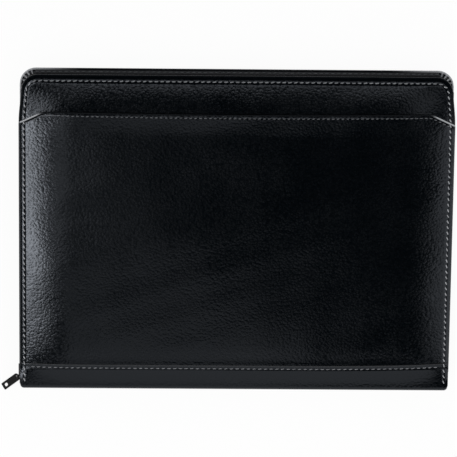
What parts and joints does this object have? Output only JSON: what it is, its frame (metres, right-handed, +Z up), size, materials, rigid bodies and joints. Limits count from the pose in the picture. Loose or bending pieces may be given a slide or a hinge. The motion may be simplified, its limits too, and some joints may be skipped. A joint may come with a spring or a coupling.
{
  "type": "zippered padfolio",
  "caption": "Black leather portfolio case with padded front cover, slanted slip pocket, folding spine and a zipper round its other edges, holding a writing pad.",
  "frame": {"origin": "middle of the back cover's outer face, on which the closed padfolio lies", "axes": "+X along the spine, +Y from the spine to the fore-edge, +Z up through the front cover"},
  "size_m": [0.3581, 0.264, 0.0297],
  "materials": {
    "leather": "black grained leather, satin",
    "pocket_leather": "thin black leather, fine grain",
    "lining": "black woven lining cloth",
    "board": "grey board",
    "foam": "soft sheet padding",
    "tape": "black woven zipper tape",
    "teeth": "black nylon teeth",
    "black_metal": "black lacquered zinc, satin",
    "card": "brown backing card",
    "paper": "white ruled paper",
    "binding": "black binding cloth",
    "elastic": "black woven elastic"
  },
  "bodies": {
    "back_cover": {"back_cover_leather": "leather", "back_spine_band": "leather", "back_board": "board", "back_lining": "lining", "zipper_tape_back": "tape", "zipper_teeth_back": "teeth", "zipper_tacks_back": "tape", "pad_backing": "card", "pad_paper": "paper", "pad_binding": "binding", "pad_sleeve": "pocket_leather", "pen_loop": "elastic"},
    "spine": {"spine_leather": "leather", "spine_board": "board", "spine_lining": "lining"},
    "front_cover": {"front_cover_leather": "leather", "front_spine_band": "leather", "front_pocket": "leather", "front_padding": "foam", "front_board": "board", "front_lining": "lining", "zipper_tape_front": "tape", "zipper_teeth_front": "teeth", "zipper_tacks_front": "tape", "document_pocket": "pocket_leather", "card_pocket_back": "pocket_leather", "card_pocket_middle": "pocket_leather", "card_pocket_front": "pocket_leather", "accessory_pocket": "pocket_leather"},
    "slider": {"zipper_slider": "black_metal"},
    "ring": {"zipper_ring": "black_metal"},
    "pull": {"zipper_pull": "black_metal"}
  },
  "joints": [
    {"name": "back_fold", "type": "hinge", "parent": "back_cover", "child": "spine", "pos_m": [0, -0.12625, 0.0017], "axis": [1, 0, 0], "range_deg": [0, 81]},
    {"name": "front_fold", "type": "hinge", "parent": "spine", "child": "front_cover", "pos_m": [0, -0.12625, 0.0243], "axis": [1, 0, 0], "range_deg": [0, 99]},
    {"name": "slider_run", "type": "slide", "parent": "back_cover", "child": "slider", "axis": [0, 1, 0], "range_m": [0, 0.22], "deforming": ["zipper_teeth_back", "zipper_teeth_front"]},
    {"name": "ring_swing", "type": "hinge", "parent": "slider", "child": "ring", "pos_m": [-0.17055, -0.1196, 0.013], "axis": [0, 0, 1], "range_deg": [-60, 7]},
    {"name": "pull_lift", "type": "hinge", "parent": "ring", "child": "pull", "pos_m": [-0.17227, -0.12128, 0.013], "axis": [-0.6997, 0.7145, 0], "range_deg": [0, 50]}
  ]
}
